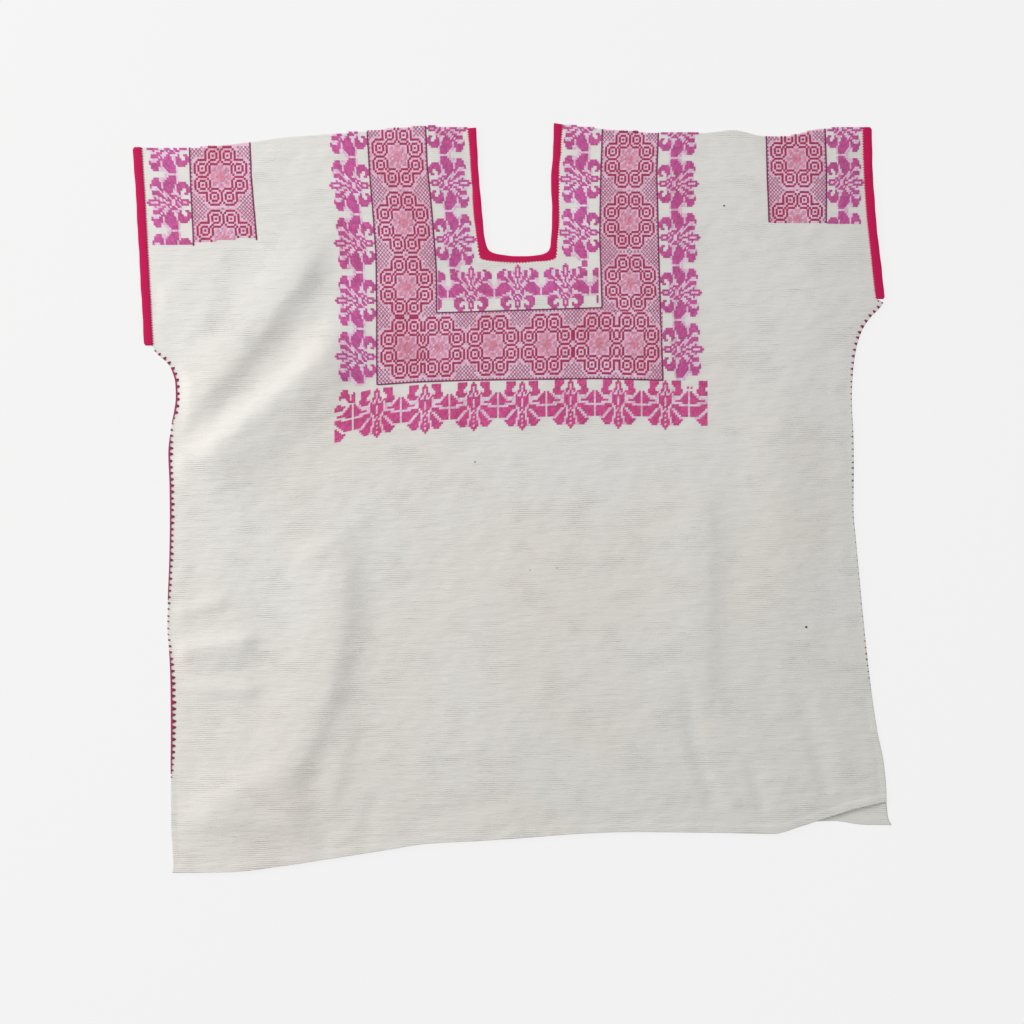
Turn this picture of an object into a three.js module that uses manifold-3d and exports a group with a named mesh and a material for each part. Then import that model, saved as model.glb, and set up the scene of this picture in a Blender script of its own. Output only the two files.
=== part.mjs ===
// Short blouse of white cotton in the huipil cut, laid flat on its back. One cloth is folded at the
// shoulders, so the front lies on the back, and a deep square neck is cut through both. Crimson
// bindings finish the neck and the sleeve ends, and a crimson edging joins the sides as far as the
// vents. Millimetres, +Z up, shoulders towards +Y, origin under the middle of the outline.
import * as THREE from 'three';
import { mergeVertices } from 'three/addons/utils/BufferGeometryUtils.js';
import Module from 'manifold-3d';

const wasm = await Module();
wasm.setup();

// Driving dimensions.
const CLOTH = 1; // wall of one layer
const SEAM_GAP = 0.3; // room left between pieces that meet
const NECK_GAP = 0.5; // the same round the neck, measured along its slanting sections
const BINDING = 1.3; // folded bias strip, through its thickness
const SLEEVE_BINDING_WIDTH = 8.6;
const EDGING = 0.8; // needle-worked edging, through its thickness
const EDGING_WIDTH = 4.8;
const HEM_DEPTH = 8;
const HEM_TURN = 0.6; // added where the hem is turned in
const BACK_INSET = 1.2; // the back hides this far inside the front
const LOFT = 3; // how far the middle of the front stands off the back
const LOFT_REACH = 70; // from an edge to full loft
const NECK_REACH = 45; // from the neck to full loft
const EDGE_HOLD = 16; // the side seams hold the folds down over this distance
const HEM_LOFT = 0.35; // share of the loft left at the free hem
const FLOOR_EASE = 1.4; // troughs round off where they meet the back
const ROW_STEP = 26; // sections further apart than this get one more row between them
const COLUMNS = 30;
const BACK_COLUMNS = 14;
const PRISM_TOP = 60; // height of the cutting prism

const table = (columns, rows) =>
  rows.map((row) => Object.fromEntries(columns.map((name, place) => [name, row[place]])));

// Sections across the blouse, from the shoulder fold down to the hem.
const SECTIONS = table(['part', 'leftX', 'leftY', 'rightX', 'rightY'], [
  ['sleeve', -371.4, 351, 351.6, 371],
  ['sleeve', -368.1, 300, 352.7, 332],
  ['sleeve', -365.4, 250, 355.2, 290],
  ['sleeve', -362.6, 200, 359.4, 249],
  ['sleeve', -360, 152, 365.2, 198.5],
  ['side', -359, 148.5, 371.5, 196],
  ['side', -354, 143, 367, 189],
  ['side', -346, 136, 359, 181],
  ['side', -340, 127.5, 350.5, 168],
  ['side', -336.5, 115, 345, 152],
  ['side', -336, 101, 342, 134],
  ['side', -337.5, 88, 340.3, 112],
  ['side', -341.5, 70, 340, 95],
  ['side', -343.5, 44, 341.5, 66],
  ['side', -342.3, 12, 342, 30],
  ['side', -342, -22, 341.6, -8],
  ['side', -342.7, -60, 344.5, -46],
  ['side', -344.3, -98, 348.4, -88],
  ['side', -345, -128, 352, -126],
  ['side', -342.6, -160, 355.7, -160],
  ['side', -341.3, -190, 359.4, -192],
  ['vented', -341, -235, 365.5, -233],
  ['vented', -341.5, -279, 371.8, -264],
  ['vent', -341.2, -328, 374.3, -288],
  ['vent', -339, -367, 374.7, -296],
  ['vent', -340, -375, 374.8, -304],
]);

// The back reaches further down at its right corner.
const BACK_CORNER = table(['rightX', 'rightY'], [
  [374.6, -302],
  [376.2, -319.5],
  [380, -327.5],
]);

// Height of the shoulder fold at each share of the width.
const SHOULDER = table(['share', 'y'], [
  [0, 351],
  [0.03, 349.2],
  [0.08, 350.6],
  [0.15, 356],
  [0.2, 361],
  [0.3, 366],
  [0.36, 370.3],
  [0.4, 372],
  [0.46, 370],
  [0.58, 373],
  [0.65, 368.4],
  [0.72, 365],
  [0.78, 365.3],
  [0.82, 368],
  [0.86, 362.2],
  [0.89, 361.6],
  [0.94, 369.3],
  [1, 371],
]);

// Hem of the front and of the back at each share of the width.
const HEM = table(['share', 'front', 'back'], [
  [0, -375, -373],
  [0.08, -374.2, -372.4],
  [0.15, -368.6, -366.8],
  [0.22, -361, -359],
  [0.29, -353.2, -351.4],
  [0.36, -345.6, -343.8],
  [0.43, -343, -341.2],
  [0.5, -339.5, -337.7],
  [0.57, -335.8, -334],
  [0.64, -334, -332.2],
  [0.78, -335, -333.2],
  [0.84, -336, -332],
  [0.88, -328.4, -324.6],
  [0.92, -318.8, -323.2],
  [0.96, -310.4, -327],
  [1, -304, -327.5],
]);

// Neck binding from the left shoulder round to the right: its open edge and the seam it is sewn on.
const NECK = table(['edgeX', 'edgeY', 'seamX', 'seamY'], [
  [-36, 370.5, -43.2, 370],
  [-33.6, 330, -41, 331],
  [-29, 276, -37.2, 276],
  [-26, 254, -33.6, 252],
  [-22.5, 247.4, -31.4, 240],
  [-13, 243.6, -20, 237],
  [7, 242, 7, 236],
  [27, 243, 34, 237.4],
  [35.6, 246.4, 43.6, 240.6],
  [38.6, 253, 44.6, 250],
  [40, 290, 47, 285],
  [39, 318, 46.6, 318],
  [41, 348, 48.6, 348],
  [42, 375, 49.2, 374],
]);

// Folds of the front: a run from one end to the other, bowed to its left by bow, with a rise
// (a trough where negative) that falls away over the width on its left and on its right.
const FOLDS = table(['x1', 'y1', 'x2', 'y2', 'bow', 'left', 'right', 'rise'], [
  [-350, 62, -178, 276, -10, 34, 16, 6.5],
  [-352, 14, -150, 188, -14, 18, 36, 8.5],
  [-362, 202, -296, 168, 0, 18, 11, 2.4],
  [-346, -120, -276, -100, 0, 9, 6, 1.8],
  [-348, -154, -246, -138, -2, 9, 20, 4.2],
  [-334, -188, -246, -191, -2, 10, 9, 2.6],
  [-176, -10, -246, -318, 32, 19, 50, 6],
  [-314, -308, -206, -264, -2, 14, 18, 2.6],
  [-158, -202, -186, -318, 2, 9, 18, 1.8],
  [-340, -322, -190, -328, 3, 34, 15, 4.6],
  [-178, -326, -194, -362, 0, 7, 7, -1.2],
  [-136, -292, -150, -352, 0, 8, 8, -1],
  [-122, -326, -4, -300, -3, 9, 11, -1.2],
  [-220, -70, -132, -8, 0, 8, 8, 1.2],
  [-298, 42, -208, 98, -3, 8, 8, -1],
  [192, 34, 190, -234, 3, 13, 40, 2.4],
  [176, -174, 218, -332, -12, 9, 9, -1.6],
  [238, -250, 256, -328, -2, 8, 8, -1.2],
  [286, -186, 318, -312, 2, 11, 10, -1.8],
  [260, 244, 326, 264, -2, 9, 9, -1],
  [252, 140, 262, -180, 8, 36, 24, 1.8],
  [-60, -60, 30, -270, 0, 70, 70, 1.5],
]);

const mix = (a, b, share) => a + (b - a) * share;
const clamp01 = (value) => Math.min(1, Math.max(0, value));
const smooth = (value) => clamp01(value) ** 2 * (3 - 2 * clamp01(value));

// Value of a table's column at a share, on a smooth curve through its rows.
function along(rows, column, share) {
  let start = 0;
  while (start < rows.length - 2 && rows[start + 1].share < share) {
    start += 1;
  }
  const end = start + 1;
  const step = rows[end].share - rows[start].share;
  const slope = (row) => {
    const before = rows[Math.max(row - 1, 0)];
    const after = rows[Math.min(row + 1, rows.length - 1)];
    return (after[column] - before[column]) / (after.share - before.share);
  };
  const t = (share - rows[start].share) / step;
  const low = rows[start][column];
  const high = rows[end][column];
  const leave = slope(start) * step;
  const arrive = slope(end) * step;
  return (
    low * (2 * t ** 3 - 3 * t ** 2 + 1) +
    leave * (t ** 3 - 2 * t ** 2 + t) +
    high * (3 * t ** 2 - 2 * t ** 3) +
    arrive * (t ** 3 - t ** 2)
  );
}

// Distance from a point to the neck, which is close to a rounded box open at the shoulders.
function neckDistance(x, y) {
  const middle = 4;
  const half = 42;
  const bottom = 238;
  const across = Math.max(Math.abs(x - middle) - half, 0);
  const below = Math.max(bottom - y, 0);
  return Math.hypot(across, below);
}

function foldRise(fold, x, y) {
  const length = Math.hypot(fold.x2 - fold.x1, fold.y2 - fold.y1);
  const alongX = (fold.x2 - fold.x1) / length;
  const alongY = (fold.y2 - fold.y1) / length;
  const run = ((x - fold.x1) * alongX + (y - fold.y1) * alongY) / length;
  if (run <= 0 || run >= 1) {
    return 0;
  }
  const aside = (y - fold.y1) * alongX - (x - fold.x1) * alongY - fold.bow * 4 * run * (1 - run);
  const ends = smooth(4 * run) * smooth(4 * (1 - run));
  const width = aside > 0 ? fold.left : fold.right;
  return fold.rise * ends * Math.exp(-((aside / width) ** 2));
}

// Space under the front at a point, from its distances to the sides, the shoulders and the hem.
function loftAt(x, y, side, top, hem) {
  const edges = smooth(side / LOFT_REACH) * smooth(top / LOFT_REACH);
  const neck = smooth(neckDistance(x, y) / NECK_REACH);
  const level = LOFT * edges * neck * mix(HEM_LOFT, 1, smooth(hem / LOFT_REACH));
  const folds = FOLDS.reduce((sum, fold) => sum + foldRise(fold, x, y), 0);
  const height = level + folds;
  const eased = (height + Math.hypot(height, FLOOR_EASE)) / 2;
  return eased * smooth(side / EDGE_HOLD) * smooth(top / EDGE_HOLD);
}

// Closed slab over a grid of points {x, y, low, high}, rows of equal length.
function slab(rows) {
  const across = rows[0].length;
  const points = rows.flat();
  const positions = [];
  for (const point of points) {
    positions.push(point.x, point.y, point.high);
  }
  for (const point of points) {
    positions.push(point.x, point.y, point.low);
  }
  const faces = [];
  const quad = (a, b, c, d) => faces.push(a, b, c, a, c, d);
  const top = (row, column) => row * across + column;
  const under = (row, column) => points.length + top(row, column);
  for (let row = 0; row < rows.length - 1; row += 1) {
    for (let column = 0; column < across - 1; column += 1) {
      quad(top(row, column), top(row + 1, column), top(row + 1, column + 1), top(row, column + 1));
      quad(under(row, column), under(row, column + 1), under(row + 1, column + 1), under(row + 1, column));
    }
    quad(top(row + 1, 0), top(row, 0), under(row, 0), under(row + 1, 0));
    const last = across - 1;
    quad(top(row, last), top(row + 1, last), under(row + 1, last), under(row, last));
  }
  for (let column = 0; column < across - 1; column += 1) {
    quad(top(0, column), top(0, column + 1), under(0, column + 1), under(0, column));
    const last = rows.length - 1;
    quad(top(last, column + 1), top(last, column), under(last, column), under(last, column + 1));
  }
  const geometry = new THREE.BufferGeometry();
  geometry.setAttribute('position', new THREE.Float32BufferAttribute(positions, 3));
  geometry.setIndex(faces);
  return geometry;
}

function toSolid(geometry) {
  return new wasm.Manifold(
    new wasm.Mesh({
      numProp: 3,
      vertProperties: new Float32Array(geometry.attributes.position.array),
      triVerts: new Uint32Array(geometry.index.array),
    }),
  );
}

function toGeometry(solid) {
  const mesh = solid.getMesh();
  const geometry = new THREE.BufferGeometry();
  geometry.setAttribute('position', new THREE.Float32BufferAttribute(mesh.vertProperties, 3));
  geometry.setIndex(Array.from(mesh.triVerts));
  return geometry;
}

// Shares of the width for the columns: a narrow one under each side edging, the rest even.
function columnShares(count, width) {
  const narrow = EDGING_WIDTH / width;
  const shares = [0];
  for (let column = 0; column <= count; column += 1) {
    shares.push(mix(narrow, 1 - narrow, column / count));
  }
  shares.push(1);
  return shares;
}

// Grid of a panel: a patch stretched between the shoulder, the hem and the two sides.
function panelGrid(sections, hemColumn, columns) {
  const first = sections[0];
  const last = sections[sections.length - 1];
  const height = (row) => (row.leftY + row.rightY) / 2;
  const shares = columnShares(columns, last.rightX - last.leftX);
  return sections.map((section) => {
    const down = (height(first) - height(section)) / (height(first) - height(last));
    return shares.map((share) => {
      const bulgeTop = along(SHOULDER, 'y', share) - mix(first.leftY, first.rightY, share);
      const bulgeHem = along(HEM, hemColumn, share) - mix(last.leftY, last.rightY, share);
      const level = mix(section.leftY, section.rightY, share);
      return {
        x: mix(section.leftX, section.rightX, share),
        y: level + mix(bulgeTop, bulgeHem, down),
        side: Math.min(share, 1 - share) * (section.rightX - section.leftX),
        top: down * (height(first) - height(last)),
        hem: (1 - down) * (height(first) - height(last)),
      };
    });
  });
}

const isHem = (point) => point.hem < HEM_DEPTH + 1;

// Sections with one more, halfway, in each wide stretch.
function closeSections() {
  return SECTIONS.flatMap((section, place) => {
    const next = SECTIONS[place + 1];
    if (!next || section.leftY - next.leftY < ROW_STEP) {
      return [section];
    }
    const halfway = { part: section.part };
    for (const column of ['leftX', 'leftY', 'rightX', 'rightY']) {
      halfway[column] = mix(section[column], next[column], 0.5);
    }
    return [section, halfway];
  });
}

function frontGrid(sections) {
  const grid = panelGrid(sections, 'front', COLUMNS);
  for (const point of grid.flat()) {
    point.low = CLOTH + SEAM_GAP + loftAt(point.x, point.y, point.side, point.top, point.hem);
    point.high = point.low + CLOTH + (isHem(point) ? HEM_TURN : 0);
  }
  return grid;
}

function backGrid() {
  const corner = SECTIONS.length - BACK_CORNER.length;
  const sections = SECTIONS.map((section, row) => ({
    ...section,
    leftX: section.leftX + BACK_INSET,
    rightX: section.rightX - BACK_INSET,
    ...(row < corner ? {} : BACK_CORNER[row - corner]),
  }));
  const last = sections[sections.length - 1];
  last.leftY = HEM[0].back;
  const grid = panelGrid(sections, 'back', BACK_COLUMNS);
  for (const point of grid.flat()) {
    point.low = 0;
    point.high = CLOTH;
  }
  return grid;
}

// Upright prism over the neck, as far out as the panels' cut edge.
function neckPrism() {
  const outline = NECK.map((row) => {
    const reach = Math.hypot(row.seamX - row.edgeX, row.seamY - row.edgeY);
    return new THREE.Vector2(
      row.seamX + ((row.seamX - row.edgeX) / reach) * NECK_GAP,
      row.seamY + ((row.seamY - row.edgeY) / reach) * NECK_GAP,
    );
  });
  const above = 420;
  const [first, last] = [outline[0], outline[outline.length - 1]];
  outline.unshift(new THREE.Vector2(first.x, above));
  outline.push(new THREE.Vector2(last.x, above));
  const prism = new THREE.ExtrudeGeometry(new THREE.Shape(outline), {
    depth: PRISM_TOP,
    bevelEnabled: false,
  });
  prism.translate(0, 0, -PRISM_TOP / 2);
  prism.deleteAttribute('normal');
  prism.deleteAttribute('uv');
  return mergeVertices(prism);
}

function panel(grid) {
  return toGeometry(toSolid(slab(grid)).subtract(toSolid(neckPrism())));
}

const strip = (rows, low, thickness) =>
  slab(rows.map((row) => row.map((point) => ({ ...point, low, high: low + thickness }))));

// A binding goes round an opening: one run on the front, one under it, and a turn at each fold.
function binding(rows, turns) {
  const frontLow = BINDING + SEAM_GAP;
  const front = toSolid(strip(rows, frontLow, BINDING));
  const back = toSolid(strip(rows, 0, BINDING));
  return turns.reduce(
    (solid, turn) => solid.add(toSolid(strip(turn, 0, frontLow + BINDING))),
    front.add(back),
  );
}

// The last stretch of a run, where the binding goes over the fold.
function turnAt(rows, end) {
  const length = 2;
  const near = rows[end === 'start' ? 0 : rows.length - 1];
  const next = rows[end === 'start' ? 1 : rows.length - 2];
  const apart = Math.hypot(next[0].x - near[0].x, next[0].y - near[0].y);
  const moved = near.map((point, side) => ({
    x: mix(point.x, next[side].x, length / apart),
    y: mix(point.y, next[side].y, length / apart),
  }));
  return end === 'start' ? [near, moved] : [moved, near];
}

function neckBinding() {
  const rows = NECK.map((row) => [
    { x: row.seamX, y: row.seamY },
    { x: row.edgeX, y: row.edgeY },
  ]);
  return toGeometry(binding(rows, [turnAt(rows, 'start'), turnAt(rows, 'end')]));
}

function sleeveBinding(sideName) {
  const outward = sideName === 'left' ? -1 : 1;
  const shortened = 0.6; // clears the side, which turns outwards under its end
  const rows = SECTIONS.filter((section) => section.part === 'sleeve').map((section) => {
    const seam = { x: section[`${sideName}X`] + outward * SEAM_GAP, y: section[`${sideName}Y`] };
    const edge = { x: seam.x + outward * (SLEEVE_BINDING_WIDTH - SEAM_GAP), y: seam.y };
    return outward < 0 ? [edge, seam] : [seam, edge];
  });
  const [before, end] = rows.slice(-2);
  const share = shortened / (before[0].y - end[0].y);
  end.forEach((point, place) => {
    point.x = mix(point.x, before[place].x, share);
    point.y = mix(point.y, before[place].y, share);
  });
  return toGeometry(binding(rows, [turnAt(rows, 'start'), turnAt(rows, 'end')]));
}

// Edging along a side: on the front's own edge points, lifted clear of them.
function sideEdging(grid, sections, sideName, parts) {
  const rows = grid
    .filter((row, place) => parts.includes(sections[place].part))
    .map((row) => (sideName === 'left' ? row.slice(0, 2) : row.slice(-2)));
  return slab(
    rows.map((row) =>
      row.map((point) => ({
        ...point,
        low: point.high + SEAM_GAP,
        high: point.high + SEAM_GAP + EDGING,
      })),
    ),
  );
}

const MATERIALS = {
  cotton: new THREE.MeshStandardMaterial({ color: 0xe6e4de, roughness: 0.9, metalness: 0 }),
  binding: new THREE.MeshStandardMaterial({ color: 0xc41658, roughness: 0.75, metalness: 0 }),
  edging: new THREE.MeshStandardMaterial({ color: 0x9c1e4f, roughness: 0.7, metalness: 0 }),
};

const blouse = new THREE.Group();

function addPiece(name, geometry, material) {
  const mesh = new THREE.Mesh(geometry, MATERIALS[material].clone());
  mesh.name = name;
  blouse.add(mesh);
}

const sections = closeSections();
const front = frontGrid(sections);
addPiece('front_panel', panel(front), 'cotton');
addPiece('back_panel', panel(backGrid()), 'cotton');
addPiece('neck_binding', neckBinding(), 'binding');
addPiece('left_sleeve_binding', sleeveBinding('left'), 'binding');
addPiece('right_sleeve_binding', sleeveBinding('right'), 'binding');
addPiece('left_side_edging', sideEdging(front, sections, 'left', ['side', 'vented']), 'edging');
addPiece('right_side_edging', sideEdging(front, sections, 'right', ['side']), 'edging');

export default blouse;
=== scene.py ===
"""Short blouse of white cotton in the huipil cut, laid flat, with cross-stitched bands and crimson trims."""
import functools
import math

import bpy
import numpy as np
from bpy.props import FloatProperty, FloatVectorProperty, PointerProperty
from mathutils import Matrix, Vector
from mathutils.bvhtree import BVHTree


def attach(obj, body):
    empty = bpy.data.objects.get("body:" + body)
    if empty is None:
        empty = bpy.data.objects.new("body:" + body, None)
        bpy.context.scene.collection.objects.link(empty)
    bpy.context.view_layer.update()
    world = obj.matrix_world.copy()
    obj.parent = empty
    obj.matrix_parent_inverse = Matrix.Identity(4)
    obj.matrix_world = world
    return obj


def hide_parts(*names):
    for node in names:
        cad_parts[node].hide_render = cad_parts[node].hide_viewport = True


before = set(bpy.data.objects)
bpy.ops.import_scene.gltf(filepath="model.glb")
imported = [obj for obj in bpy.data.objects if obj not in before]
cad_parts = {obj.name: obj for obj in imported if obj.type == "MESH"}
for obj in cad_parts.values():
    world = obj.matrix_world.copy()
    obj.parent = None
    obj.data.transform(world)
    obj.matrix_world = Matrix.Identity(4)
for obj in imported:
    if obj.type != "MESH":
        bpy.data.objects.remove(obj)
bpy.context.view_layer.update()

bl_info = {
    "name": "Embroidered blouse",
    "version": (1, 0, 0),
    "blender": (4, 5, 0),
    "location": "View3D > Sidebar > Blouse",
    "description": "Cloth, bindings, edging and cross-stitch of a blouse that lies flat",
    "category": "Object",
}

MM = 0.001


def table(columns, rows):
    """Rows of numbers, with commas between the rows, as one array for each named column."""
    values = np.array([row.split() for row in rows.split(",")], float)
    return dict(zip(columns.split(), values.T))


# ---------------------------------------------------------------- sizes, in millimetres

CLOTH = 0.8  # one layer
BACK_TOP = 1.0  # upper face of the back
FRONT_TOP = 2.0  # upper face of the front where it lies on the back
BACK_STEP = 7.5  # between the points of the back
BACK_INSET = 1.2  # the back's sides lie this far in under the front's
FRONT_WIDTH, BACK_WIDTH = 715.0, 713.0  # widths at which the places near the sides are true
ROLL = 1.0  # radius of the shoulder fold
ROLL_BACK = 0.7  # its middle lies this far down from the fold's line
ROLL_TURN, ROLL_STATIONS = (-90, 72), 8  # degrees
LOFT = 3.0  # space under the middle of the front
LOFT_REACH = 70.0  # it is full this far in from the shoulder, the sides and the hem
NECK_REACH = 45.0  # and this far from the neck
HEM_LOFT = 0.35  # share of it that is left at the hem
EDGE_HOLD = 16.0  # folds die out over this much by the sides and the shoulder
FLOOR_EASE = 1.4  # a dip is rounded off over about this much where it meets the back
CRINKLE_REACH, CRINKLE_NECK_REACH = 14.0, 12.0  # the crinkle dies out over these
HEM_DEPTH, HEM_TURN, BACK_HEM_TURN = 8.0, 0.4, 0.35  # turned hem: how deep, and what it adds
VENT_DEPTH, VENT_TURN, BACK_VENT_TURN = 5.0, 0.2, 0.3  # turned vents, in the same way
TURN_STEP = 2.0  # a turn ends over this much
VENT_TOP, RIGHT_VENT_TOP = -279.0, -200.0  # the sides are turned below these heights
CORNER_FROM, CORNER_OVER = 300.0, 40.0  # the back's turnings rise only by its right corner
NECK_MIDDLE, NECK_HALF, NECK_LOW = 4.0, 42.0, 238.0  # the neck opening as a plain square
NECK_STATIONS = 760
NECK_CUT = 0.8  # the cloths are cut at this share of the way from the open edge to the seam
STITCH_CUT = 1.12  # and the stitches stop at this one, outside the seam
OVER_SHOULDER = 420.0  # height at which the neck's outline closes
OVER_CLOTH = 60.0  # where the rays down to the front start
STEEPEST = 0.6  # least upward share of the cloth's normal under a stitch
BINDING_WIDTH = 8.6
BINDING_TOP = 3.0
BINDING_UNDER = 1.6
BINDING_GAP = 0.3  # between the strips over and under the cloth
BINDING_END = 11  # stations in the turn over each end
BIAS_PITCH = 1.1  # of the binding's threads
SLEEVE_STATIONS = 440
SLEEVE_SHORT = 0.6  # a sleeve binding stops this far before the sleeve's corner
SLEEVE_EASE = 0.5  # it is this much narrower than the strip
SLEEVE_ROUNDING = 1.4  # and this much more at its ends
THREAD_DROP = 0.18  # a thread's sides lie lower by this share of its width
TWIST_PITCH = 0.5  # of the stitches' thread
JITTER = 0.05  # spread of the corners of the cross-stitches
BAND_MARGIN = 6.0  # band_reach counts from this far outside a band

# Places of the points near the edges of the two cloths, measured from the edge.
NEAR_SIDE, BACK_NEAR_SIDE = [0, 0.8, 2, 3.6, 5, 5.9, 7.5], [0, 1.2, 4, 5.2, 8]
NEAR_SHOULDER, BACK_NEAR_SHOULDER = [0.9, 2.4, 4.5], [2.2, 5]
NEAR_HEM = [0, 0.8, 3.5, 7.2, 8.2, 9.4, 12]

# Sections across the front from the shoulder fold down to the hem; the first five are the sleeves.
SECTIONS = table(
    "leftX leftY rightX rightY",
    """-371.4 351 351.6 371, -368.1 300 352.7 332, -365.4 250 355.2 290, -362.6 200 359.4 249,
    -360 152 365.2 198.5, -359 148.5 371.5 196, -354 143 367 189, -346 136 359 181,
    -340 127.5 350.5 168, -336.5 115 345 152, -336 101 342 134, -337.5 88 340.3 112,
    -341.5 70 340 95, -343.5 44 341.5 66, -342.3 12 342 30, -342 -22 341.6 -8,
    -342.7 -60 344.5 -46, -344.3 -98 348.4 -88, -345 -128 352 -126, -342.6 -160 355.7 -160,
    -341.3 -190 359.4 -192, -341 -235 365.5 -233, -341.5 -279 371.8 -264, -341.2 -328 374.3 -288,
    -339 -367 374.7 -296, -340 -375 374.8 -304""",
)
SLEEVE_ROWS = 5
BACK_CORNER = table("rightX rightY", "374.6 -302, 376.2 -319.5, 380 -327.5")
SHOULDER = table(
    "share y",
    """0 351, 0.03 349.2, 0.08 350.6, 0.15 356, 0.2 361, 0.3 366, 0.36 370.3, 0.4 372, 0.46 370,
    0.58 373, 0.65 368.4, 0.72 365, 0.78 365.3, 0.82 368, 0.86 362.2, 0.89 361.6, 0.94 369.3, 1 371""",
)
HEM = table(
    "share front back",
    """0 -375 -373, 0.08 -374.2 -372.4, 0.15 -368.6 -366.8, 0.22 -361 -359, 0.29 -353.2 -351.4,
    0.36 -345.6 -343.8, 0.43 -343 -341.2, 0.5 -339.5 -337.7, 0.57 -335.8 -334, 0.64 -334 -332.2,
    0.78 -335 -333.2, 0.84 -336 -332, 0.88 -328.4 -324.6, 0.92 -318.8 -323.2, 0.96 -310.4 -327,
    1 -304 -327.5""",
)
# Neck binding from the left shoulder round to the right: its open edge and the seam it is sewn on.
NECK = table(
    "edgeX edgeY seamX seamY",
    """-36 370.5 -43.2 370, -33.6 330 -41 331, -29 276 -37.2 276, -26 254 -33.6 252,
    -22.5 247.4 -31.4 240, -13 243.6 -20 237, 7 242 7 236, 27 243 34 237.4, 35.6 246.4 43.6 240.6,
    38.6 253 44.6 250, 40 290 47 285, 39 318 46.6 318, 41 348 48.6 348, 42 375 49.2 374""",
)
# Folds of the front: a run between two ends, bowed to its left by bow, with a rise that falls away
# over the widths on its left and on its right.
FOLDS = table(
    "x1 y1 x2 y2 bow left right rise",
    """-350 62 -178 276 -10 34 16 6.5, -352 14 -150 188 -14 18 36 8.5,
    -362 202 -296 168 0 18 11 2.4, -346 -120 -276 -100 0 9 6 1.8,
    -348 -154 -246 -138 -2 9 20 4.2, -334 -188 -246 -191 -2 10 9 2.6,
    -176 -10 -246 -318 32 19 50 6, -314 -308 -206 -264 -2 14 18 2.6,
    -158 -202 -186 -318 2 9 18 1.8, -340 -322 -190 -328 3 34 15 4.6,
    -178 -326 -194 -362 0 7 7 -1.2, -136 -292 -150 -352 0 8 8 -1,
    -122 -326 -4 -300 -3 9 11 -1.2, -220 -70 -132 -8 0 8 8 1.2,
    -298 42 -208 98 -3 8 8 -1, 192 34 190 -234 3 13 40 2.4,
    176 -174 218 -332 -12 9 9 -1.6, 238 -250 256 -328 -2 8 8 -1.2,
    286 -186 318 -312 2 11 10 -1.8, 260 244 326 264 -2 9 9 -1,
    252 140 262 -180 8 36 24 1.8, -60 -60 30 -270 0 70 70 1.5""",
)
# Specks of seed husk in the cotton: place and radius.
SPECKS = table("x y size", "294 -129 1.1, 212 292 0.9, -37 36 0.7, 18 -72 0.5, 45 -70 0.5")
# Section of a binding: place between the seam and the open edge, and height between its faces.
BINDING_PROFILE = table(
    "across height",
    """0 0.05, 0.5 0, 0.92 0, 0.985 0.2, 1 0.5, 0.975 0.82, 0.88 0.98, 0.6 1, 0.3 0.97,
    0.16 0.9, 0.05 0.8, 0 0.6""",
)
# Size of the edging's points and of the cord between them, from the sleeve down each side.
LEFT_EDGING = table(
    "down size cord",
    """-150 0.2 0, -143 0.75 0, -132 1 0, -126 1 1, -90 1.1 1, -84 0.9 0.6, -80 0.5 0.2, -66 0.6 0,
    -58 0.9 0.3, -50 1 1, 20 1 0.9, 60 0.9 0.5, 90 0.85 0.2, 112 0.55 0.1, 135 0.4 0, 150 0.7 0.1,
    166 1 0.5, 185 1.15 1, 230 1.15 1, 262 0.95 0.6, 276 0.5 0.1, 282 0.2 0""",
)
RIGHT_EDGING = table(
    "down size cord",
    """-197 0.4 0, -190 0.9 0, -150 0.85 0, -125 0.6 0, -100 0.35 0, -70 0.25 0, -62 0.5 0,
    -20 0.55 0, 0 0.35 0, 60 0.25 0, 130 0.3 0, 160 0.45 0, 185 0.35 0, 194 0.15 0""",
)

# ---------------------------------------------------------------- arithmetic


def mix(a, b, share):
    return a + (b - a) * share


def smooth(value):
    held = np.clip(value, 0, 1)
    return held * held * (3 - 2 * held)


def through(xs, ys, at):
    """Smooth curve through points, with no overshoot between them."""
    at = np.asarray(at, float)
    step = np.diff(xs)
    rise = np.diff(ys) / step
    slope = np.zeros(len(xs))
    both = rise[1:] * rise[:-1]
    total = np.where(both > 0, rise[1:] + rise[:-1], 1)
    slope[1:-1] = np.where(both > 0, 2 * both / total, 0)
    slope[0], slope[-1] = rise[0], rise[-1]
    place = np.clip(np.searchsorted(xs, at, side="right") - 1, 0, len(step) - 1)
    t = (at - xs[place]) / step[place]
    return (
        ys[place] * (2 * t**3 - 3 * t**2 + 1)
        + slope[place] * step[place] * (t**3 - 2 * t**2 + t)
        + ys[place + 1] * (3 * t**2 - 2 * t**3)
        + slope[place + 1] * step[place] * (t**3 - t**2)
    )


def running(points):
    """Length along a line of points, up to each of them."""
    return np.concatenate([[0], np.cumsum(np.linalg.norm(np.diff(points, axis=0), axis=1))])


def along(points, at):
    """Places at these lengths along a line of points."""
    run = running(points)
    return np.stack([np.interp(at, run, points[:, axis]) for axis in range(points.shape[1])], -1)


def unevenness(x, y, scale, seed):
    """Soft random relief of about one unit, from waves with fixed random directions."""
    draw = np.random.default_rng(seed)
    total = np.zeros(np.broadcast(x, y).shape)
    waves = 9
    for _ in range(waves):
        turn = draw.uniform(0, math.tau)
        pitch = scale * draw.uniform(0.6, 1.6)
        phase = draw.uniform(0, math.tau)
        total += np.sin((x * math.cos(turn) + y * math.sin(turn)) * math.tau / pitch + phase)
    return total / math.sqrt(waves / 2)


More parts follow.
